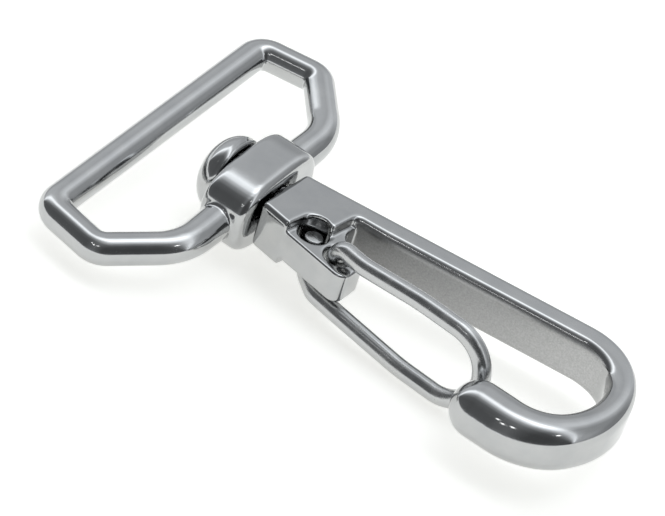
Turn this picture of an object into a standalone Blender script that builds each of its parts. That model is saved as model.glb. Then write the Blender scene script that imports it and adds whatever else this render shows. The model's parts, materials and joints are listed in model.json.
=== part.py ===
"""Swivel snap hook with a webbing eye and a bent-wire gate.

X runs along the swivel axis towards the hook end, -Y is the gate side and Z is
normal to the plane of the hook.  Dimensions are in millimetres and are scaled to
metres where the meshes are made.
"""
import math

import bmesh
import bpy
from mathutils import Vector

MM = 0.001

# Clearances
GAP = 0.3

# Hook body: block beside the swivel
BLOCK_END_X = 4.16
BLOCK_HALF_Z = 4.58
BLOCK_FRONT_Y = -7.0
FRONT_SLOPE = -0.18
BLOCK_FRONT_EDGE_R = 1.2
END_EDGE_R = 0.5
NECK_R = 4.3

# Hook body: straight shank
SHANK_BACK_Y = 5.6
SHANK_SLOPE_DEG = 7.85
SHANK_WIDTH = 4.7
SHANK_OUTER_EDGE = 0.38
SHANK_INNER_EDGE = 0.72

# Hook body: bend as (radius, degrees of turn), then the rounded nose
BEND_START_X = 58.0
BEND_ARCS = ((10.6, 77.85), (16.4, 50.0), (10.3, 60.0))
BEND_STEP_DEG = 7.5
NOSE_R = 4.75
NOSE_CENTRE_X = 54.8
SWELL_START_DEG = 30.0

# Ear that carries the gate
EAR_HALF_Z = 2.8
EAR_TIP_X = 23.6
HOLE_R = 2.6
NEAR_HOLE = (13.4, -4.4)
FAR_HOLE = (19.4, -5.6)
RECESS_CORNERS = ((10.9, -2.9), (15.6, -2.9), (16.2, 2.9))
RECESS_RADII = (1.6, 0.9, 1.3)

# Swivel pin
PIN_R = 3.3
PIN_END_X = 9.5
HEAD_R = 7.0
HEAD_BASE_X = -5.5
HEAD_RIM_X = -6.4
HEAD_DOME = 4.6

# Bail
BAR_R = 2.8
BAR_X = -21.96
BAR_HALF_Y = 28.25
SIDE_X = -10.52
SIDE_HALF_Y = 30.07
LEG_X = -1.1
LEG_HALF_Y = 19.62
BAIL_CORNER_R = 3.1
BAIL_LEG_R = 11.0
COLLAR_X = (-5.2, 3.6)
COLLAR_HALF_Y = 10.8
COLLAR_HALF_Z = 6.8
COLLAR_SQUARENESS = 3.0
COLLAR_EDGE_R = 1.1
BAIL_REST_DEG = 7.4

# Wire gate
WIRE_R = 1.6
WIRE_BEND_R = 2.4
STUB_SHIFT = 0.62
STUB_END_Z = 1.8
LEG_Z_EAR = 5.1
LEG_Z_FAR = 7.0
GATE_END_X = 51.2
GATE_END_Y = -9.4


def smoothstep(value):
    value = min(max(value, 0.0), 1.0)
    return value * value * (3.0 - 2.0 * value)


def shank_back(x):
    """Outer face of the shank at a given x."""
    return SHANK_BACK_Y + math.tan(math.radians(SHANK_SLOPE_DEG)) * (x - BLOCK_END_X)


def front_face(x):
    """Front face of the block and the ear at a given x."""
    return BLOCK_FRONT_Y + FRONT_SLOPE * (x - BLOCK_END_X)


def arc_points(centre, radius, start_deg, end_deg, count):
    step = (end_deg - start_deg) / (count - 1)
    angles = [math.radians(start_deg + step * i) for i in range(count)]
    return [(centre[0] + radius * math.cos(a), centre[1] + radius * math.sin(a)) for a in angles]


def new_object(name, mesh, origin=(0.0, 0.0, 0.0)):
    """Adds a mesh given in millimetres as an object whose origin is at the given point."""
    for vertex in mesh.verts:
        vertex.co = (vertex.co - Vector(origin)) * MM
    bmesh.ops.recalc_face_normals(mesh, faces=mesh.faces)
    data = bpy.data.meshes.new(name)
    mesh.to_mesh(data)
    mesh.free()
    body = bpy.data.objects.new(name, data)
    body.location = Vector(origin) * MM
    bpy.context.collection.objects.link(body)
    return body


def loft(rings, tip=None):
    """Skins a list of equal rings and closes both ends; a tip point closes the last end."""
    mesh = bmesh.new()
    rows = [[mesh.verts.new(point) for point in ring] for ring in rings]
    count = len(rows[0])
    for row, following in zip(rows, rows[1:]):
        for i in range(count):
            j = (i + 1) % count
            mesh.faces.new((row[i], row[j], following[j], following[i]))
    mesh.faces.new(rows[0])
    if tip is None:
        mesh.faces.new(rows[-1])
        return mesh
    end = mesh.verts.new(tip)
    for i in range(count):
        mesh.faces.new((rows[-1][i], rows[-1][(i + 1) % count], end))
    return mesh


def prism(outline, z_low, z_high, edge=0.0):
    """Extrudes a plan outline; the top and bottom edges may be rounded."""
    mesh = loft([[(x, y, z) for x, y in outline] for z in (z_low, z_high)])
    if edge > 0.0:
        rims = [e for e in mesh.edges if abs(e.verts[0].co.z - e.verts[1].co.z) < 1e-6]
        bmesh.ops.bevel(mesh, geom=rims, offset=edge, segments=2, profile=0.5, affect="EDGES")
    return mesh


def cylinder(centre, radius, low, high, axis, sides=24):
    """Round bar along X or Z with flats facing the main directions."""
    ends = []
    for level in (low, high):
        ring = []
        for i in range(sides):
            angle = math.tau * (i + 0.5) / sides
            a = centre[0] + radius * math.cos(angle)
            b = centre[1] + radius * math.sin(angle)
            ring.append((level, a, b) if axis == "X" else (a, b, level))
        ends.append(ring)
    return loft(ends)


def combine(base, tool, operation):
    """Applies one exact Boolean and removes the tool."""
    modifier = base.modifiers.new("join", "BOOLEAN")
    modifier.operation = operation
    modifier.solver = "EXACT"
    modifier.object = tool
    bpy.context.view_layer.update()
    graph = bpy.context.evaluated_depsgraph_get()
    data = bpy.data.meshes.new_from_object(base.evaluated_get(graph))
    base.modifiers.clear()
    base.data = data
    bpy.data.objects.remove(tool, do_unlink=True)


def rounded_path(corners, radii, steps):
    """Replaces each inner corner of a 3-D polyline by an arc of the given radius."""
    points = [Vector(corners[0])]
    for i in range(1, len(corners) - 1):
        corner = Vector(corners[i])
        back = (Vector(corners[i - 1]) - corner).normalized()
        ahead = (Vector(corners[i + 1]) - corner).normalized()
        half = back.angle(ahead) / 2.0
        bisector = (back + ahead).normalized()
        centre = corner + bisector * (radii[i - 1] / math.sin(half))
        first = corner + back * (radii[i - 1] / math.tan(half)) - centre
        last = corner + ahead * (radii[i - 1] / math.tan(half)) - centre
        turn = first.angle(last)
        for k in range(steps + 1):
            share = k / steps
            weight_a = math.sin((1.0 - share) * turn) / math.sin(turn)
            weight_b = math.sin(share * turn) / math.sin(turn)
            points.append(centre + first * weight_a + last * weight_b)
    points.append(Vector(corners[-1]))
    return points


def sweep(path, radius, sides, side_hint):
    """Round bar along a path; the ring is carried along without twist."""
    rings = []
    side = Vector(side_hint)
    for i, point in enumerate(path):
        before = path[max(i - 1, 0)]
        after = path[min(i + 1, len(path) - 1)]
        ahead = (after - before).normalized()
        side = (side - ahead * side.dot(ahead)).normalized()
        other = ahead.cross(side)
        stretch = 1.0
        if 0 < i < len(path) - 1:
            bend = (point - before).angle(after - point)
            stretch = 1.0 / math.cos(bend / 2.0)
        axis = (after - point).normalized() - (point - before).normalized() if stretch > 1.0 else side
        if axis.length > 1e-6:
            axis = axis.normalized()
        ring = []
        for k in range(sides):
            angle = math.tau * (k + 0.5) / sides
            offset = (side * math.cos(angle) + other * math.sin(angle)) * radius
            offset += axis * offset.dot(axis) * (stretch - 1.0)
            ring.append(point + offset)
        rings.append(ring)
    return loft(rings)


def section(centre, outward, inner, outer, half_z, inner_r, outer_r):
    """Rounded rectangle: `outward` is the plan direction of the outer side."""
    corners = (
        (outer - outer_r, half_z - outer_r, outer_r, 0.0),
        (-(inner - inner_r), half_z - inner_r, inner_r, 90.0),
        (-(inner - inner_r), -(half_z - inner_r), inner_r, 180.0),
        (outer - outer_r, -(half_z - outer_r), outer_r, 270.0),
    )
    ring = []
    for u, w, radius, start in corners:
        for a, b in arc_points((u, w), radius, start, start + 90.0, 5):
            ring.append((centre[0] + outward[0] * a, centre[1] + outward[1] * a, b))
    return ring


def straight_sections():
    """Block and shank as sections at fixed x, each running from front to back."""
    corners = [(10.1, front_face(10.1)), *RECESS_CORNERS, (22.0, shank_back(22.0) - SHANK_WIDTH)]
    wall = rounded_path([(x, y, 0.0) for x, y in corners], RECESS_RADII, 4)
    rows = [(BLOCK_END_X + END_EDGE_R, front_face(BLOCK_END_X + END_EDGE_R))]
    rows += [(point.x, point.y) for point in wall]
    rings = []
    first = rows[0]
    middle = (first[1] + shank_back(first[0])) / 2.0
    half = (shank_back(first[0]) - first[1]) / 2.0 - END_EDGE_R
    rings.append(section((BLOCK_END_X, middle), (0.0, 1.0), half, half, BLOCK_HALF_Z - END_EDGE_R, 0.7, 0.6))
    for x, front in rows + [(x, shank_back(x) - SHANK_WIDTH) for x in (34.0, 46.0)]:
        back = shank_back(x)
        middle = (front + back) / 2.0
        half = (back - front) / 2.0
        blend = smoothstep((x - 10.0) / 12.0)
        shank_r = SHANK_INNER_EDGE * SHANK_WIDTH / 2.0
        inner_r = BLOCK_FRONT_EDGE_R + blend * (shank_r - BLOCK_FRONT_EDGE_R)
        outer_r = SHANK_OUTER_EDGE * SHANK_WIDTH / 2.0
        rings.append(section((x, middle), (0.0, 1.0), half, half, BLOCK_HALF_Z, inner_r, outer_r))
    return rings


def bend_sections():
    """Sections square to the bend; the width swells from the shank to the nose."""
    rings = []
    slope = math.radians(SHANK_SLOPE_DEG)
    x = BEND_START_X
    y = shank_back(x) - SHANK_WIDTH / 2.0 / math.cos(slope)
    normal = 90.0 + SHANK_SLOPE_DEG
    stations = [(x, y, normal)]
    for radius, sweep_deg in BEND_ARCS:
        steps = math.ceil(sweep_deg / BEND_STEP_DEG)
        centre = (x - radius * math.cos(math.radians(normal)), y - radius * math.sin(math.radians(normal)))
        for i in range(1, steps + 1):
            angle = normal - sweep_deg * i / steps
            point = arc_points(centre, radius, angle, angle + 1.0, 2)[0]
            stations.append((point[0], point[1], angle))
        x, y, normal = stations[-1]
    for x, y, normal in stations:
        swell = max(0.0, (SWELL_START_DEG - normal) / (SWELL_START_DEG + 90.0)) ** 1.25
        half = SHANK_WIDTH / 2.0 + swell * (NOSE_R - SHANK_WIDTH / 2.0)
        half_z = BLOCK_HALF_Z + swell * (NOSE_R - BLOCK_HALF_Z)
        roundness = smoothstep((90.0 - normal) / 90.0)
        outer_r = half * (SHANK_OUTER_EDGE + roundness * (0.95 - SHANK_OUTER_EDGE))
        inner_r = half * (SHANK_INNER_EDGE + roundness * (0.95 - SHANK_INNER_EDGE))
        outward = (math.cos(math.radians(normal)), math.sin(math.radians(normal)))
        rings.append(section((x, y), outward, half, half, half_z, inner_r, outer_r))
    return rings, y


def nose_sections(axis_y):
    """Hemisphere that closes the free end of the hook."""
    rings = []
    for latitude in (0.0, 15.0, 30.0, 45.0, 60.0, 75.0):
        radius = NOSE_R * math.cos(math.radians(latitude))
        x = NOSE_CENTRE_X - NOSE_R * math.sin(math.radians(latitude))
        corner = 0.95 * radius
        rings.append(section((x, axis_y), (0.0, -1.0), radius, radius, radius, corner, corner))
    return rings, (NOSE_CENTRE_X - NOSE_R, axis_y, 0.0)


def ear_outline():
    """Plan outline of the ear, with its foot inside the block and the shank."""
    front = 0.12
    tip_front = front_face(EAR_TIP_X - 2.0) + front
    points = [(7.0, -2.0), (7.0, front_face(7.0) + front), (EAR_TIP_X - 2.0, tip_front)]
    points += arc_points((EAR_TIP_X - 1.9, tip_front + 1.9), 1.9, -80.0, 0.0, 6)
    points += arc_points((EAR_TIP_X - 3.4, FAR_HOLE[1] + 0.4), 3.4, 10.0, 100.0, 7)
    points += arc_points((19.8, 1.2), 2.9, 255.0, 180.0, 5)
    points += [(17.2, 4.6), (15.0, 4.6)]
    return points


def build_hook():
    straight = straight_sections()
    bend, axis_y = bend_sections()
    nose, tip = nose_sections(axis_y)
    body = new_object("hook_body", loft(straight + bend + nose, tip))
    ear = new_object("ear", prism(ear_outline(), -EAR_HALF_Z, EAR_HALF_Z))
    combine(body, ear, "UNION")
    neck = new_object("neck", cylinder((0.0, 0.0), NECK_R, COLLAR_X[1] + GAP, 6.0, "X", 32))
    combine(body, neck, "UNION")
    for place in (NEAR_HOLE, FAR_HOLE):
        drill = new_object("drill", cylinder(place, HOLE_R, -8.0, 8.0, "Z", 24))
        combine(body, drill, "DIFFERENCE")
    bore = new_object("bore", cylinder((0.0, 0.0), PIN_R + GAP, 0.0, PIN_END_X + GAP, "X", 24))
    combine(body, bore, "DIFFERENCE")
    return body


def build_pin():
    """Shank and domed head, turned about the swivel axis."""
    profile = [(PIN_END_X, PIN_R - 0.5), (PIN_END_X - 0.5, PIN_R), (HEAD_BASE_X, PIN_R)]
    profile += [(HEAD_BASE_X, HEAD_R - 0.5), (HEAD_BASE_X - 0.5, HEAD_R), (HEAD_RIM_X, HEAD_R)]
    for angle in (18.0, 36.0, 54.0, 70.0, 82.0):
        a = math.radians(angle)
        profile.append((HEAD_RIM_X - HEAD_DOME * math.sin(a), HEAD_R * math.cos(a)))
    rings = []
    for x, radius in profile:
        ring = []
        for i in range(32):
            angle = math.tau * (i + 0.5) / 32
            ring.append((x, radius * math.cos(angle), radius * math.sin(angle)))
        rings.append(ring)
    return new_object("swivel_pin", loft(rings, (HEAD_RIM_X - HEAD_DOME, 0.0, 0.0)))


def build_bail():
    corners = [
        (LEG_X, 9.0, 0.0),
        (LEG_X, LEG_HALF_Y, 0.0),
        (SIDE_X, SIDE_HALF_Y, 0.0),
        (BAR_X, BAR_HALF_Y, 0.0),
        (BAR_X, -BAR_HALF_Y, 0.0),
        (SIDE_X, -SIDE_HALF_Y, 0.0),
        (LEG_X, -LEG_HALF_Y, 0.0),
        (LEG_X, -9.0, 0.0),
    ]
    radii = [BAIL_LEG_R] + [BAIL_CORNER_R] * 4 + [BAIL_LEG_R]
    bail = new_object("bail", sweep(rounded_path(corners, radii, 6), BAR_R, 16, (0.0, 0.0, 1.0)))
    collar = new_object("collar", collar_mesh())
    combine(bail, collar, "UNION")
    bore = new_object("bore", cylinder((0.0, 0.0), PIN_R + GAP, -8.0, 8.0, "X", 24))
    combine(bail, bore, "DIFFERENCE")
    bail.rotation_euler = (math.radians(BAIL_REST_DEG), 0.0, 0.0)
    return bail


def squared_circle(angle):
    """Point of a unit superellipse."""
    power = 2.0 / COLLAR_SQUARENESS
    return [math.copysign(abs(value) ** power, value) for value in (math.cos(angle), math.sin(angle))]


def collar_mesh():
    """Flat-ended boss, between an ellipse and a rectangle in section, with rounded rims."""
    rings = []
    low, high = COLLAR_X
    rims = []
    for angle in (0.0, 30.0, 60.0, 90.0):
        a = math.radians(angle)
        rims.append((COLLAR_EDGE_R * (1.0 - math.sin(a)), COLLAR_EDGE_R * (1.0 - math.cos(a))))
    levels = [(low + depth, inset) for depth, inset in reversed(rims)]
    levels += [(high - depth, inset) for depth, inset in rims]
    for x, inset in levels:
        ring = []
        for i in range(48):
            across, up = squared_circle(math.tau * (i + 0.5) / 48)
            ring.append((x, (COLLAR_HALF_Y - inset) * across, (COLLAR_HALF_Z - inset) * up))
        rings.append(ring)
    return loft(rings)


def build_gate():
    """One bent wire: a stub in each hole, two flared legs and the round far end."""
    near = (NEAR_HOLE[0], NEAR_HOLE[1] + STUB_SHIFT)
    far = (FAR_HOLE[0], FAR_HOLE[1] - STUB_SHIFT)
    pivot = ((near[0] + far[0]) / 2.0, (near[1] + far[1]) / 2.0)
    end_centre_x = GATE_END_X - LEG_Z_FAR
    path = rounded_path(
        [
            (far[0], far[1], -STUB_END_Z),
            (far[0], far[1], LEG_Z_EAR),
            (25.0, -7.7, LEG_Z_EAR + 0.3),
            (37.0, -9.0, LEG_Z_FAR),
            (end_centre_x, GATE_END_Y, LEG_Z_FAR),
        ],
        [WIRE_BEND_R, 20.0, 30.0],
        5,
    )
    for i in range(1, 12):
        angle = math.radians(90.0 - 15.0 * i)
        x = end_centre_x + LEG_Z_FAR * math.cos(angle)
        path.append(Vector((x, GATE_END_Y, LEG_Z_FAR * math.sin(angle))))
    path += rounded_path(
        [
            (end_centre_x, GATE_END_Y, -LEG_Z_FAR),
            (37.0, -9.0, -LEG_Z_FAR),
            (24.0, -8.4, -LEG_Z_EAR - 0.3),
            (18.2, -7.6, -LEG_Z_EAR),
            (near[0], near[1], -LEG_Z_EAR),
            (near[0], near[1], STUB_END_Z),
        ],
        [30.0, 12.0, 4.0, WIRE_BEND_R],
        5,
    )
    return new_object("wire_gate", sweep(path, WIRE_R, 12, (0.0, 1.0, 0.0)), (pivot[0], pivot[1], 0.0))


def finish(body, colour, roughness, metallic):
    """Gives a piece its material and smooth round faces."""
    material = bpy.data.materials.new(body.name)
    material.use_nodes = True
    shader = material.node_tree.nodes["Principled BSDF"]
    shader.inputs["Base Color"].default_value = (*colour, 1.0)
    shader.inputs["Roughness"].default_value = roughness
    shader.inputs["Metallic"].default_value = metallic
    body.data.materials.clear()
    body.data.materials.append(material)
    body.data.shade_smooth()
    body.data.set_sharp_from_angle(angle=math.radians(35.0))


def centre_on_ground(bodies):
    """Moves everything so that the origin is under the middle of the part, at its lowest point."""
    bpy.context.view_layer.update()
    corners = [body.matrix_world @ vertex.co for body in bodies for vertex in body.data.vertices]
    low = Vector([min(corner[i] for corner in corners) for i in range(3)])
    high = Vector([max(corner[i] for corner in corners) for i in range(3)])
    shift = Vector((-(low.x + high.x) / 2.0, -(low.y + high.y) / 2.0, -low.z))
    for body in bodies:
        body.location += shift
    print("shift_mm", [round(value / MM, 4) for value in shift])
    print("size_mm", [round((high[i] - low[i]) / MM, 3) for i in range(3)])


for leftover in list(bpy.data.objects):
    bpy.data.objects.remove(leftover, do_unlink=True)

hook = build_hook()
pin = build_pin()
bail = build_bail()
gate = build_gate()
finish(hook, (0.62, 0.63, 0.64), 0.14, 1.0)
finish(pin, (0.60, 0.61, 0.62), 0.16, 1.0)
finish(bail, (0.62, 0.63, 0.64), 0.13, 1.0)
finish(gate, (0.66, 0.67, 0.68), 0.20, 1.0)
centre_on_ground([hook, pin, bail, gate])
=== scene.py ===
"""Visual model of a swivel snap hook with a wire gate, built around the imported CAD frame.

Shapes are worked out in millimetres from the point where the swivel axis crosses the
eye's legs, with X towards the hook end, -Y the gate side and Z square to the hook's
plane.  They are scaled to metres and placed on the frame's swivel axis.
"""
import json
import math

import bmesh
import bpy
from mathutils import Matrix, Vector


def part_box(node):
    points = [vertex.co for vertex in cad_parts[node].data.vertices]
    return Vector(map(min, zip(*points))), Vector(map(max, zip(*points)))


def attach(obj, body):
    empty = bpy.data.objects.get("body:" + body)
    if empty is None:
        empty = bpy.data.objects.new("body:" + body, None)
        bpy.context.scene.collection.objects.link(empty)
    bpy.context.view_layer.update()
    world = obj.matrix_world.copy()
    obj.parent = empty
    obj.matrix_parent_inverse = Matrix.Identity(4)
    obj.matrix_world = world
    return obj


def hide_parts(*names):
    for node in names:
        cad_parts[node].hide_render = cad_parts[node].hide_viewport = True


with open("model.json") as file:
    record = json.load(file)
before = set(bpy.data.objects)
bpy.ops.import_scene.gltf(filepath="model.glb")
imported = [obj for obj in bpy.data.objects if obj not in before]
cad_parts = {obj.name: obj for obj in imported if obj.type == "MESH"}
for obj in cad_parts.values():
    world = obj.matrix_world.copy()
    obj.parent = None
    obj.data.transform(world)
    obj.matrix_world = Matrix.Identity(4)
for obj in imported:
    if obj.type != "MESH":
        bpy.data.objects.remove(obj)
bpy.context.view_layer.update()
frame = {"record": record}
joints = {joint["name"]: joint for joint in frame["record"]["behaviour"]["joints"]}
AXIS = Vector(joints["swivel"]["pos_m"])
MM = 0.001
MM_PER_M = 1000.0


def node_corners(name):
    """Lowest and highest corner of a CAD node, in millimetres from the swivel point."""
    return [(corner - AXIS) * MM_PER_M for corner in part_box(name)]


PIVOT = (Vector(joints["gate_pivot"]["pos_m"]) - AXIS) * MM_PER_M
HOOK_LOW = node_corners("hook_body")[0]
PIN_LOW, PIN_HIGH = node_corners("swivel_pin")
BAIL_LOW = node_corners("bail")[0]
GATE_HIGH = node_corners("wire_gate")[1]

# Fineness of the meshes
VOXEL = 0.22
SMOOTHING_PASSES = 12
CORNER_STEPS = 13
ROUND_SIDES = 64
TURNED_SIDES = 96

# Hook body
BLOCK_END_X = 4.16
BLOCK_HALF_Z = 4.58
BLOCK_FRONT_Y = -7.0
FRONT_SLOPE = -0.18
BLOCK_FRONT_EDGE_R = 1.2
BLOCK_END_CORNERS = (0.7, 0.6)
END_EDGE_R = 0.5
NECK_R = 4.3
NECK_FOOT_X = 6.0
NECK_X = HOOK_LOW.x
SHANK_BACK_Y = 5.6
SHANK_SLOPE_DEG = 7.85
SHANK_WIDTH = 4.7
SHANK_OUTER_EDGE = 0.34
SHANK_INNER_EDGE = 0.72
BEND_START_X = 58.0
BEND_ARCS = ((10.6, 77.85), (16.4, 50.0), (10.3, 60.0))
NOSE_R = 4.75
NOSE_CENTRE_X = 54.8
SWELL_START_DEG = 30.0
SWELL_POWER = 1.25
NOSE_ROUNDNESS = 0.97
EAR_HALF_Z = 2.8
EAR_TIP_X = 23.6
EAR_TIP_R = 1.9
EAR_BACK_R = 3.4
EAR_EDGE_R = 0.35
EAR_STEP = 0.1
HOLE_R = 2.6
NEAR_HOLE = (PIVOT.x - 3.0, -4.4)
FAR_HOLE = (PIVOT.x + 3.0, -5.6)
RECESS_CORNERS = ((10.9, -2.9), (15.6, -2.9), (16.2, 2.9))
RECESS_RADII = (1.6, 0.9, 1.3)

# Pin
PIN_R = 3.3
BORE_R = 3.6
BORE_END_X = 9.8
HEAD_R = PIN_HIGH.z
HEAD_BASE_X = -5.5
HEAD_RIM_X = -6.4

# Eye
BAR_R = 2.8
BAR_X = BAIL_LOW.x + BAR_R
BAR_HALF_Y = 28.25
SIDE_X = -10.52
SIDE_HALF_Y = 30.07
LEG_X = -1.1
LEG_HALF_Y = 19.62
EYE_CORNER_R = 3.1
EYE_LEG_R = 11.0
COLLAR_X = (-5.2, 3.6)
COLLAR_HALF_Y = 10.8
COLLAR_HALF_Z = 6.8
COLLAR_SQUARENESS = 3.0
COLLAR_EDGE_R = 1.6
EYE_REST_DEG = 7.4

# Gate
WIRE_R = 1.6
WIRE_END_R = 0.25
WIRE_BEND_R = 2.4
STUB_SHIFT = 0.62
STUB_END_Z = 1.8
LEG_Z_EAR = 5.1
LEG_Z_FAR = GATE_HIGH.z - WIRE_R
GATE_END_X = GATE_HIGH.x - WIRE_R
GATE_END_Y = -9.4

# Studio, in metres
FLOOR_HALF_SIZE = 3.0
FLOOR_Z = -0.0005
CAMERA_AZIMUTH_ELEVATION_ROLL = (24.25, 36.74, 18.24)
CAMERA_FROM_SWIVEL = (0.21035, -0.43158, 0.35036)
CAMERA_LENS = 195.3
LAMP_DISTANCE = 1.6
LAMP_SIZE = (0.1, 0.1)
LAMP_POWER = 0.12
SKY_STRENGTH = 2.0
NEAR_LAMPS = (
    ("lamp_left", -14.0, 49.0),
    ("lamp_middle", -2.0, 43.0),
    ("lamp_centre", 12.0, 47.0),
    ("lamp_right", 80.0, 46.0),
)


# ---------------------------------------------------------------- geometry helpers


def smoothstep(value):
    value = min(max(value, 0.0), 1.0)
    return value * value * (3.0 - 2.0 * value)


def shank_back(x):
    return SHANK_BACK_Y + math.tan(math.radians(SHANK_SLOPE_DEG)) * (x - BLOCK_END_X)


def front_face(x):
    return BLOCK_FRONT_Y + FRONT_SLOPE * (x - BLOCK_END_X)


def arc_points(centre, radius, start_deg, end_deg, count):
    step = (end_deg - start_deg) / (count - 1)
    angles = [math.radians(start_deg + step * i) for i in range(count)]
    return [(centre[0] + radius * math.cos(a), centre[1] + radius * math.sin(a)) for a in angles]


def loft(rings, tip=None):
    """Skins equal rings into one closed mesh; a tip point closes the last end."""
    mesh = bmesh.new()
    rows = [[mesh.verts.new(point) for point in ring] for ring in rings]
    count = len(rows[0])
    for row, following in zip(rows, rows[1:]):
        for i in range(count):
            j = (i + 1) % count
            mesh.faces.new((row[i], row[j], following[j], following[i]))
    mesh.faces.new(rows[0])
    if tip is None:
        mesh.faces.new(rows[-1])
    else:
        end = mesh.verts.new(tip)
        for i in range(count):
            mesh.faces.new((rows[-1][i], rows[-1][(i + 1) % count], end))
    bmesh.ops.recalc_face_normals(mesh, faces=mesh.faces)
    return mesh


def new_object(name, mesh):
    """Adds a mesh given in millimetres about the swivel point."""
    data = bpy.data.meshes.new(name)
    mesh.to_mesh(data)
    mesh.free()
    body = bpy.data.objects.new(name, data)
    bpy.context.scene.collection.objects.link(body)
    return body


def cylinder(centre, radius, low, high, axis):
    """Round bar along X or Z."""
    ends = []
    for level in (low, high):
        ring = []
        for a, b in arc_points(centre, radius, 0.0, 360.0, ROUND_SIDES + 1)[:-1]:
            ring.append((level, a, b) if axis == "X" else (a, b, level))
        ends.append(ring)
    return loft(ends)


def apply_modifiers(body):
    bpy.context.view_layer.update()
    graph = bpy.context.evaluated_depsgraph_get()
    data = bpy.data.meshes.new_from_object(body.evaluated_get(graph))
    body.modifiers.clear()
    body.data = data


def combine(base, tool, operation):
    modifier = base.modifiers.new("join", "BOOLEAN")
    modifier.operation = operation
    modifier.solver = "EXACT"
    modifier.object = tool
    apply_modifiers(base)
    bpy.data.objects.remove(tool, do_unlink=True)


def cast_surface(body, grain_deg=0.0):
    """Melts the joins of a casting into one soft-edged skin whose rows run along its long faces."""
    turn = Matrix.Rotation(math.radians(grain_deg), 4, "Z")
    body.data.transform(turn.inverted())
    remesh = body.modifiers.new("skin", "REMESH")
    remesh.mode = "VOXEL"
    remesh.voxel_size = VOXEL
    remesh.use_smooth_shade = True
    soften = body.modifiers.new("soften", "SMOOTH")
    soften.factor = 0.5
    soften.iterations = SMOOTHING_PASSES
    apply_modifiers(body)
    body.data.transform(turn)


def rounded_path(corners, radii, steps):
    """Replaces each inner corner of a 3-D polyline by an arc."""
    points = [Vector(corners[0])]
    for i in range(1, len(corners) - 1):
        corner = Vector(corners[i])
        back = (Vector(corners[i - 1]) - corner).normalized()
        ahead = (Vector(corners[i + 1]) - corner).normalized()
        half = back.angle(ahead) / 2.0
        centre = corner + (back + ahead).normalized() * (radii[i - 1] / math.sin(half))
        first = corner + back * (radii[i - 1] / math.tan(half)) - centre
        last = corner + ahead * (radii[i - 1] / math.tan(half)) - centre
        turn = first.angle(last)
        for k in range(steps + 1):
            share = k / steps
            weight_a = math.sin((1.0 - share) * turn) / math.sin(turn)
            weight_b = math.sin(share * turn) / math.sin(turn)
            points.append(centre + first * weight_a + last * weight_b)
    points.append(Vector(corners[-1]))
    return points


def sweep(path, radius_at, sides, side_hint, end_round=0.0):
    """Round bar along a path; radius_at gives the radius at a share of its length."""
    lengths = [0.0]
    for before, after in zip(path, path[1:]):
        lengths.append(lengths[-1] + (after - before).length)
    rings = []
    side = Vector(side_hint)
    for i, point in enumerate(path):
        before = path[max(i - 1, 0)]
        after = path[min(i + 1, len(path) - 1)]
        ahead = (after - before).normalized()
        side = (side - ahead * side.dot(ahead)).normalized()
        other = ahead.cross(side)
        radius = radius_at(lengths[i] / lengths[-1])
        insets = [(0.0, 0.0)]
        if end_round and i == 0:
            insets = [(0.0, end_round), (end_round * 0.3, end_round * 0.3), (end_round, 0.0)]
        if end_round and i == len(path) - 1:
            insets = [(-end_round, 0.0), (-end_round * 0.3, end_round * 0.3), (0.0, end_round)]
        for along, inset in insets:
            ring = []
            for k in range(sides):
                angle = math.tau * k / sides
                offset = (side * math.cos(angle) + other * math.sin(angle)) * (radius - inset)
                ring.append(point + ahead * along + offset)
            rings.append(ring)
    return loft(rings)


# ---------------------------------------------------------------- hook body


def section(centre, outward, inner, outer, half_z, inner_r, outer_r):
    """Rounded rectangle: `outward` is the plan direction of the outer side."""
    corners = (
        (outer - outer_r, half_z - outer_r, outer_r, 0.0),
        (-(inner - inner_r), half_z - inner_r, inner_r, 90.0),
        (-(inner - inner_r), -(half_z - inner_r), inner_r, 180.0),
        (outer - outer_r, -(half_z - outer_r), outer_r, 270.0),
    )
    ring = []
    for u, w, radius, start in corners:
        for a, b in arc_points((u, w), radius, start, start + 90.0, CORNER_STEPS):
            ring.append((centre[0] + outward[0] * a, centre[1] + outward[1] * a, b))
    return ring


def straight_sections():
    """Block and shank as sections at fixed x, each running from front to back."""
    corners = [(10.1, front_face(10.1)), *RECESS_CORNERS, (22.0, shank_back(22.0) - SHANK_WIDTH)]
    wall = rounded_path([(x, y, 0.0) for x, y in corners], RECESS_RADII, 14)
    rows = [(BLOCK_END_X + END_EDGE_R, front_face(BLOCK_END_X + END_EDGE_R))]
    rows += [(point.x, point.y) for point in wall]
    rows += [(x, shank_back(x) - SHANK_WIDTH) for x in (28.0, 34.0, 40.0, 46.0, 52.0)]
    middle = (rows[0][1] + shank_back(rows[0][0])) / 2.0
    half = (shank_back(rows[0][0]) - rows[0][1]) / 2.0 - END_EDGE_R
    end_half_z = BLOCK_HALF_Z - END_EDGE_R
    rings = [section((BLOCK_END_X, middle), (0.0, 1.0), half, half, end_half_z, *BLOCK_END_CORNERS)]
    shank_r = SHANK_INNER_EDGE * SHANK_WIDTH / 2.0
    for x, front in rows:
        back = shank_back(x)
        middle = (front + back) / 2.0
        half = (back - front) / 2.0
        blend = smoothstep((x - 10.0) / 12.0)
        inner_r = BLOCK_FRONT_EDGE_R + blend * (shank_r - BLOCK_FRONT_EDGE_R)
        outer_r = SHANK_OUTER_EDGE * SHANK_WIDTH / 2.0
        rings.append(section((x, middle), (0.0, 1.0), half, half, BLOCK_HALF_Z, inner_r, outer_r))
    return rings


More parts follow.
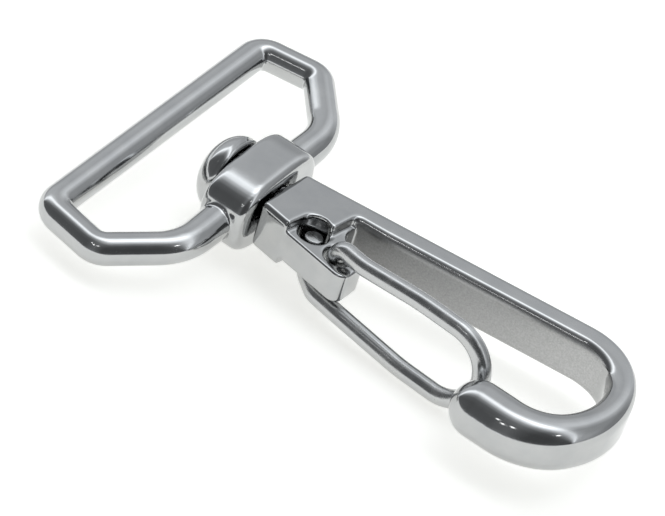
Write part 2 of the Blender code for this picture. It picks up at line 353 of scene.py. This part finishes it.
def bend_sections():
    """Sections square to the bend; the width swells from the shank to the nose."""
    x = BEND_START_X
    y = shank_back(x) - SHANK_WIDTH / 2.0 / math.cos(math.radians(SHANK_SLOPE_DEG))
    normal = 90.0 + SHANK_SLOPE_DEG
    stations = [(x, y, normal)]
    for radius, turn in BEND_ARCS:
        steps = math.ceil(turn / 2.0)
        direction = math.radians(normal)
        centre = (x - radius * math.cos(direction), y - radius * math.sin(direction))
        points = arc_points(centre, radius, normal, normal - turn, steps + 1)
        for step in range(1, steps + 1):
            stations.append((*points[step], normal - turn * step / steps))
        x, y, normal = stations[-1]
    rings = []
    for x, y, normal in stations:
        swell = max(0.0, (SWELL_START_DEG - normal) / (SWELL_START_DEG + 90.0)) ** SWELL_POWER
        half = SHANK_WIDTH / 2.0 + swell * (NOSE_R - SHANK_WIDTH / 2.0)
        half_z = BLOCK_HALF_Z + swell * (NOSE_R - BLOCK_HALF_Z)
        roundness = smoothstep((90.0 - normal) / 90.0)
        outer_r = half * (SHANK_OUTER_EDGE + roundness * (NOSE_ROUNDNESS - SHANK_OUTER_EDGE))
        inner_r = half * (SHANK_INNER_EDGE + roundness * (NOSE_ROUNDNESS - SHANK_INNER_EDGE))
        outward = (math.cos(math.radians(normal)), math.sin(math.radians(normal)))
        rings.append(section((x, y), outward, half, half, half_z, inner_r, outer_r))
    return rings, y


def nose_sections(axis_y):
    """Rounded end of the hook."""
    rings = []
    for step in range(0, 30):
        latitude = math.radians(3.0 * step)
        radius = NOSE_R * math.cos(latitude)
        x = NOSE_CENTRE_X - NOSE_R * math.sin(latitude)
        corner = NOSE_ROUNDNESS * radius
        rings.append(section((x, axis_y), (0.0, -1.0), radius, radius, radius, corner, corner))
    return rings, (NOSE_CENTRE_X - NOSE_R, axis_y, 0.0)


def ear_mesh():
    """Thin plate with soft top and bottom edges that carries the two gate holes."""
    tip_front = front_face(EAR_TIP_X - 2.0) + EAR_STEP
    outline = [(7.0, -2.0), (7.0, front_face(7.0) + EAR_STEP), (EAR_TIP_X - 2.0, tip_front)]
    outline += arc_points((EAR_TIP_X - EAR_TIP_R, tip_front + EAR_TIP_R), EAR_TIP_R, -80.0, 0.0, 16)
    outline += arc_points((EAR_TIP_X - EAR_BACK_R, FAR_HOLE[1] + 0.4), EAR_BACK_R, 10.0, 100.0, 24)
    outline += arc_points((19.8, 1.2), 2.9, 255.0, 180.0, 12)
    outline += [(17.2, 4.6), (15.0, 4.6)]
    mesh = loft([[(x, y, z) for x, y in outline] for z in (-EAR_HALF_Z, EAR_HALF_Z)])
    rims = [e for e in mesh.edges if abs(e.verts[0].co.z - e.verts[1].co.z) < 1e-6]
    bmesh.ops.bevel(mesh, geom=rims, offset=EAR_EDGE_R, segments=3, profile=0.5, affect="EDGES")
    return mesh


def build_hook():
    bend, axis_y = bend_sections()
    nose, tip = nose_sections(axis_y)
    body = new_object("hook_casting", loft(straight_sections() + bend + nose, tip))
    combine(body, new_object("ear", ear_mesh()), "UNION")
    combine(body, new_object("neck", cylinder((0.0, 0.0), NECK_R, NECK_X, NECK_FOOT_X, "X")), "UNION")
    for place in (NEAR_HOLE, FAR_HOLE):
        combine(body, new_object("drill", cylinder(place, HOLE_R, -9.0, 9.0, "Z")), "DIFFERENCE")
    combine(body, new_object("bore", cylinder((0.0, 0.0), BORE_R, -1.0, BORE_END_X, "X")), "DIFFERENCE")
    cast_surface(body, SHANK_SLOPE_DEG)
    return body


# ---------------------------------------------------------------- pin, eye and gate


def build_pin():
    """Shank and domed head, turned about the swivel axis."""
    dome = HEAD_RIM_X - PIN_LOW.x
    profile = [(PIN_HIGH.x, PIN_R - 0.5), (PIN_HIGH.x - 0.5, PIN_R), (HEAD_BASE_X - 0.3, PIN_R)]
    profile += [(HEAD_BASE_X, PIN_R + 0.3), (HEAD_BASE_X, HEAD_R - 0.6)]
    profile += [(HEAD_BASE_X - r, HEAD_R - s) for r, s in arc_points((0.45, 0.45), 0.45, 250.0, 180.0, 6)]
    for step in range(2, 44):
        angle = math.radians(2.0 * step)
        profile.append((HEAD_RIM_X - dome * math.sin(angle), HEAD_R * math.cos(angle)))
    rings = []
    for x, radius in profile:
        circle = arc_points((0.0, 0.0), radius, 0.0, 360.0, TURNED_SIDES + 1)[:-1]
        rings.append([(x, a, b) for a, b in circle])
    return new_object("swivel_rivet", loft(rings, (PIN_LOW.x, 0.0, 0.0)))


def eye_radius(share):
    """The bar thickens a little where it runs into the collar."""
    return BAR_R + 0.35 * (1.0 - smoothstep(min(share, 1.0 - share) / 0.12))


def collar_mesh():
    """Flat-ended boss, between an ellipse and a rectangle in section, with rounded rims."""
    rims = []
    for step in range(11):
        angle = math.radians(9.0 * step)
        rims.append((COLLAR_EDGE_R * (1.0 - math.sin(angle)), COLLAR_EDGE_R * (1.0 - math.cos(angle))))
    low, high = COLLAR_X
    levels = [(low + depth, inset) for depth, inset in reversed(rims)]
    levels += [(high - depth, inset) for depth, inset in rims]
    power = 2.0 / COLLAR_SQUARENESS
    rings = []
    for x, inset in levels:
        ring = []
        for point in arc_points((0.0, 0.0), 1.0, 0.0, 360.0, TURNED_SIDES + 1)[:-1]:
            across, up = [math.copysign(abs(value) ** power, value) for value in point]
            ring.append((x, (COLLAR_HALF_Y - inset) * across, (COLLAR_HALF_Z - inset) * up))
        rings.append(ring)
    return loft(rings)


def build_eye():
    """Bent bar and collar, turned on the swivel to its rest position."""
    half = [
        (LEG_X, 9.0, 0.0),
        (LEG_X, LEG_HALF_Y, 0.0),
        (SIDE_X, SIDE_HALF_Y, 0.0),
        (BAR_X, BAR_HALF_Y, 0.0),
    ]
    corners = half + [(x, -y, z) for x, y, z in reversed(half)]
    radii = [EYE_LEG_R] + [EYE_CORNER_R] * 4 + [EYE_LEG_R]
    path = rounded_path(corners, radii, 20)
    eye = new_object("webbing_eye", sweep(path, eye_radius, 40, (0.0, 0.0, 1.0)))
    combine(eye, new_object("collar", collar_mesh()), "UNION")
    combine(eye, new_object("bore", cylinder((0.0, 0.0), BORE_R, -9.0, 9.0, "X")), "DIFFERENCE")
    cast_surface(eye)
    eye.data.transform(Matrix.Rotation(math.radians(EYE_REST_DEG), 4, "X"))
    return eye


def build_gate():
    """One bent wire: a stub in each hole, two flared legs and the round far end."""
    near = (NEAR_HOLE[0], NEAR_HOLE[1] + STUB_SHIFT)
    far = (FAR_HOLE[0], FAR_HOLE[1] - STUB_SHIFT)
    end_centre_x = GATE_END_X - LEG_Z_FAR
    path = rounded_path(
        [
            (far[0], far[1], -STUB_END_Z),
            (far[0], far[1], LEG_Z_EAR),
            (25.0, -7.7, LEG_Z_EAR + 0.3),
            (37.0, -9.0, LEG_Z_FAR),
            (end_centre_x, GATE_END_Y, LEG_Z_FAR),
        ],
        [WIRE_BEND_R, 20.0, 30.0],
        16,
    )
    for a, b in arc_points((end_centre_x, 0.0), LEG_Z_FAR, 90.0, -90.0, 49)[1:-1]:
        path.append(Vector((a, GATE_END_Y, b)))
    path += rounded_path(
        [
            (end_centre_x, GATE_END_Y, -LEG_Z_FAR),
            (37.0, -9.0, -LEG_Z_FAR),
            (24.0, -8.4, -LEG_Z_EAR - 0.3),
            (18.2, -7.6, -LEG_Z_EAR),
            (near[0], near[1], -LEG_Z_EAR),
            (near[0], near[1], STUB_END_Z),
        ],
        [30.0, 12.0, 4.0, WIRE_BEND_R],
        16,
    )
    wire = sweep(path, lambda share: WIRE_R, 32, (0.0, 1.0, 0.0), WIRE_END_R)
    return new_object("gate_wire", wire)


# ---------------------------------------------------------------- materials


def node(tree, kind, **values):
    """Adds a shader node; each value sets the input of that name, or else the property."""
    made = tree.nodes.new(kind)
    for name, value in values.items():
        if name in made.inputs:
            made.inputs[name].default_value = value
        else:
            setattr(made, name, value)
    return made


def chrome(name, tone, scale, roughness, bump):
    """Bright plating with a cloudy sheen, fine grain and small pits."""
    material = bpy.data.materials.new(name)
    material.use_nodes = True
    tree = material.node_tree
    link = tree.links.new
    shader = tree.nodes["Principled BSDF"]
    shader.inputs["Metallic"].default_value = 1.0
    where = node(tree, "ShaderNodeTexCoord")
    cloud = node(tree, "ShaderNodeTexNoise", Scale=scale, Detail=4.0, Roughness=0.55)
    grain = node(tree, "ShaderNodeTexNoise", Scale=scale * 22.0, Detail=3.0, Roughness=0.6)
    pits = node(tree, "ShaderNodeTexVoronoi", Scale=scale * 9.0, Randomness=1.0)
    for texture in (cloud, grain, pits):
        link(where.outputs["Object"], texture.inputs["Vector"])
    tint = node(tree, "ShaderNodeValToRGB")
    low, high = tint.color_ramp.elements
    low.position, high.position = 0.3, 0.7
    low.color = (tone * 0.93, tone * 0.945, tone * 0.955, 1.0)
    high.color = (tone * 1.02, tone * 1.03, tone * 1.03, 1.0)
    link(cloud.outputs["Fac"], tint.inputs["Fac"])
    gloss = node(tree, "ShaderNodeMapRange")
    gloss.inputs["From Min"].default_value = 0.3
    gloss.inputs["From Max"].default_value = 0.75
    gloss.inputs["To Min"].default_value = roughness * 0.7
    gloss.inputs["To Max"].default_value = roughness * 1.5
    link(cloud.outputs["Fac"], gloss.inputs["Value"])
    pit_depth = node(tree, "ShaderNodeMapRange")
    pit_depth.inputs["From Min"].default_value = 0.0
    pit_depth.inputs["From Max"].default_value = 0.16
    link(pits.outputs["Distance"], pit_depth.inputs["Value"])
    height = node(tree, "ShaderNodeMath", operation="MULTIPLY_ADD")
    height.inputs[1].default_value = 0.35
    link(grain.outputs["Fac"], height.inputs[0])
    link(pit_depth.outputs["Result"], height.inputs[2])
    relief = node(tree, "ShaderNodeBump", Strength=bump, Distance=0.00003)
    link(height.outputs["Value"], relief.inputs["Height"])
    link(relief.outputs["Normal"], shader.inputs["Normal"])
    link(tint.outputs["Color"], shader.inputs["Base Color"])
    link(gloss.outputs["Result"], shader.inputs["Roughness"])
    return material, tree, shader, where, tint, gloss


def cast_chrome():
    """Plating with the unpolished, mottled inner side of the shank; that side's colour also carries
    painted shade, darkest towards the block.
    """
    material, tree, shader, where, tint, gloss = chrome("cast_chrome", 0.5, 260.0, 0.09, 0.14)
    link = tree.links.new
    facing = node(tree, "ShaderNodeSeparateXYZ")
    link(where.outputs["Normal"], facing.inputs["Vector"])
    place = node(tree, "ShaderNodeSeparateXYZ")
    link(where.outputs["Object"], place.inputs["Vector"])
    inner = node(tree, "ShaderNodeMapRange")
    inner.inputs["From Min"].default_value = -0.72
    inner.inputs["From Max"].default_value = -0.93
    link(facing.outputs["Y"], inner.inputs["Value"])
    behind = node(tree, "ShaderNodeMapRange")
    behind.inputs["From Min"].default_value = AXIS.y - 0.001
    behind.inputs["From Max"].default_value = AXIS.y + 0.0015
    link(place.outputs["Y"], behind.inputs["Value"])
    mask = node(tree, "ShaderNodeMath", operation="MULTIPLY")
    link(inner.outputs["Result"], mask.inputs[0])
    link(behind.outputs["Result"], mask.inputs[1])
    mottle = node(tree, "ShaderNodeTexNoise", Scale=3200.0, Detail=5.0, Roughness=0.65)
    link(where.outputs["Object"], mottle.inputs["Vector"])
    # Painted shade: the inner face's colour darkens from 0.5 at the bend end to 0.26 at the block end,
    # where the block and wire shade it.
    along = node(tree, "ShaderNodeMapRange")
    along.inputs["From Min"].default_value = AXIS.x + 0.018
    along.inputs["From Max"].default_value = AXIS.x + 0.062
    along.inputs["To Min"].default_value = 0.26
    along.inputs["To Max"].default_value = 0.5
    link(place.outputs["X"], along.inputs["Value"])
    speckle = node(tree, "ShaderNodeMapRange")
    speckle.inputs["From Min"].default_value = 0.3
    speckle.inputs["From Max"].default_value = 0.7
    speckle.inputs["To Min"].default_value = 0.82
    speckle.inputs["To Max"].default_value = 1.15
    link(mottle.outputs["Fac"], speckle.inputs["Value"])
    # Inner-face colour: random mottle times the painted shade.
    mottle_and_painted_shade = node(tree, "ShaderNodeMath", operation="MULTIPLY")
    link(along.outputs["Result"], mottle_and_painted_shade.inputs[0])
    link(speckle.outputs["Result"], mottle_and_painted_shade.inputs[1])
    colour = node(tree, "ShaderNodeMix", data_type="RGBA")
    link(mask.outputs["Value"], colour.inputs["Factor"])
    link(tint.outputs["Color"], colour.inputs["A"])
    link(mottle_and_painted_shade.outputs["Value"], colour.inputs["B"])
    link(colour.outputs["Result"], shader.inputs["Base Color"])
    rough = node(tree, "ShaderNodeMix", data_type="FLOAT")
    rough.inputs["B"].default_value = 0.36
    link(mask.outputs["Value"], rough.inputs["Factor"])
    link(gloss.outputs["Result"], rough.inputs["A"])
    link(rough.outputs["Result"], shader.inputs["Roughness"])
    return material


# ---------------------------------------------------------------- assembly


def place(body, owner, stands_for, slot, material):
    """Moves a piece to the swivel axis in metres and ties it to its CAD body."""
    body.data.transform(Matrix.Translation(AXIS) @ Matrix.Scale(MM, 4))
    body.data.materials.clear()
    body.data.materials.append(material)
    body.data.shade_smooth()
    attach(body, owner)
    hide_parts(stands_for)


def add_floor():
    """Pale matt floor just under the part."""
    mesh = bmesh.new()
    bmesh.ops.create_grid(mesh, x_segments=2, y_segments=2, size=FLOOR_HALF_SIZE)
    floor = new_object("floor", mesh)
    floor.location.z = FLOOR_Z
    material = bpy.data.materials.new("pale_floor")
    material.use_nodes = True
    shader = material.node_tree.nodes["Principled BSDF"]
    shader.inputs["Base Color"].default_value = (0.82, 0.82, 0.80, 1.0)
    shader.inputs["Roughness"].default_value = 0.9
    shader.inputs["Emission Color"].default_value = (1.0, 1.0, 0.97, 1.0)
    shader.inputs["Emission Strength"].default_value = 0.6
    floor.data.materials.append(material)


def fill_ramp(ramp, stops):
    """Sets a colour ramp to slightly cool greys."""
    elements = ramp.color_ramp.elements
    while len(elements) > 1:
        elements.remove(elements[-1])
    for i, (position, value) in enumerate(stops):
        element = elements[0] if i == 0 else elements.new(position)
        element.position = position
        element.color = (value * 0.985, value, value * 1.015, 1.0)


def add_sky():
    """Grey studio: a band from the far horizon, overhead, to the gate side, brightest in the middle."""
    stops = (
        (-180.0, 1.0), (-4.0, 1.0), (3.0, 0.5), (25.0, 0.52), (38.0, 0.66), (64.0, 0.68), (71.0, 0.95),
        (77.0, 1.9), (84.0, 1.6), (90.0, 0.95), (98.0, 0.42), (110.0, 0.17), (130.0, 0.12),
        (165.0, 0.13), (177.0, 0.17), (180.0, 1.0),
    )
    across = (
        (-1.0, 1.15), (-0.64, 1.1), (-0.33, 1.0), (-0.08, 1.4), (0.12, 1.6), (0.3, 1.15), (0.5, 0.7),
        (0.75, 0.7), (1.0, 0.9),
    )
    world = bpy.data.worlds.new("studio")
    bpy.context.scene.world = world
    world.use_nodes = True
    tree = world.node_tree
    link = tree.links.new
    where = node(tree, "ShaderNodeTexCoord")
    parts = node(tree, "ShaderNodeSeparateXYZ")
    link(where.outputs["Generated"], parts.inputs["Vector"])
    angle = node(tree, "ShaderNodeMath", operation="ARCTAN2")
    link(parts.outputs["Z"], angle.inputs[0])
    link(parts.outputs["Y"], angle.inputs[1])
    share = node(tree, "ShaderNodeMapRange")
    share.inputs["From Min"].default_value = -math.pi
    share.inputs["From Max"].default_value = math.pi
    link(angle.outputs["Value"], share.inputs["Value"])
    band = node(tree, "ShaderNodeValToRGB")
    fill_ramp(band, [((degrees + 180.0) / 360.0, value / SKY_STRENGTH) for degrees, value in stops])
    link(share.outputs["Result"], band.inputs["Fac"])
    back = tree.nodes["Background"]
    back.inputs["Strength"].default_value = SKY_STRENGTH ** 2
    sideways = node(tree, "ShaderNodeMapRange")
    sideways.inputs["From Min"].default_value = -1.0
    link(parts.outputs["X"], sideways.inputs["Value"])
    width = node(tree, "ShaderNodeValToRGB")
    fill_ramp(width, [((x + 1.0) / 2.0, value / SKY_STRENGTH) for x, value in across])
    link(sideways.outputs["Result"], width.inputs["Fac"])
    light = node(tree, "ShaderNodeVectorMath", operation="MULTIPLY")
    link(band.outputs["Color"], light.inputs[0])
    link(width.outputs["Color"], light.inputs[1])
    link(light.outputs["Vector"], back.inputs["Color"])


def add_lamp(name, azimuth_deg, elevation_deg):
    """Small soft light aimed at the middle of the part."""
    light = bpy.data.lights.new(name, "AREA")
    light.shape = "RECTANGLE"
    light.size, light.size_y = LAMP_SIZE
    light.energy = LAMP_POWER
    lamp = bpy.data.objects.new(name, light)
    azimuth, elevation = math.radians(azimuth_deg), math.radians(elevation_deg)
    direction = Vector((
        math.sin(azimuth) * math.cos(elevation),
        -math.cos(azimuth) * math.cos(elevation),
        math.sin(elevation),
    ))
    lamp.location = direction * LAMP_DISTANCE
    lamp.rotation_euler = direction.to_track_quat("Z", "Y").to_euler()
    bpy.context.scene.collection.objects.link(lamp)


def add_camera():
    """Telephoto view from above the gate side, rolled so that the hook runs down to the right."""
    azimuth, elevation, roll = (math.radians(a) for a in CAMERA_AZIMUTH_ELEVATION_ROLL)
    ahead = Vector((
        -math.sin(azimuth) * math.cos(elevation),
        math.cos(azimuth) * math.cos(elevation),
        -math.sin(elevation),
    ))
    level = Vector((math.cos(azimuth), math.sin(azimuth), 0.0))
    rise = level.cross(ahead)
    right = level * math.cos(roll) + rise * math.sin(roll)
    up = rise * math.cos(roll) - level * math.sin(roll)
    camera = bpy.data.cameras.new("camera")
    camera.sensor_width = 36.0
    camera.lens = CAMERA_LENS
    camera.clip_start = 0.01
    viewer = bpy.data.objects.new("camera", camera)
    viewer.matrix_world = Matrix((right, up, -ahead)).transposed().to_4x4()
    viewer.location = AXIS + Vector(CAMERA_FROM_SWIVEL)
    bpy.context.scene.collection.objects.link(viewer)
    bpy.context.scene.camera = viewer


hook_chrome = cast_chrome()
eye_chrome = chrome("eye_chrome", 0.51, 240.0, 0.1, 0.14)[0]
rivet_chrome = chrome("rivet_chrome", 0.51, 300.0, 0.1, 0.14)[0]
wire_chrome = chrome("wire_chrome", 0.54, 420.0, 0.22, 0.2)[0]
place(build_hook(), "hook", "hook_body", "cast_body", hook_chrome)
place(build_pin(), "hook", "swivel_pin", "rivet", rivet_chrome)
place(build_eye(), "eye", "bail", "cast_eye", eye_chrome)
place(build_gate(), "gate", "wire_gate", "gate_wire", wire_chrome)

add_floor()
add_sky()
for lamp_name, lamp_azimuth, lamp_elevation in NEAR_LAMPS:
    add_lamp(lamp_name, lamp_azimuth, lamp_elevation)
add_camera()
bpy.context.scene.view_settings.view_transform = "Standard"
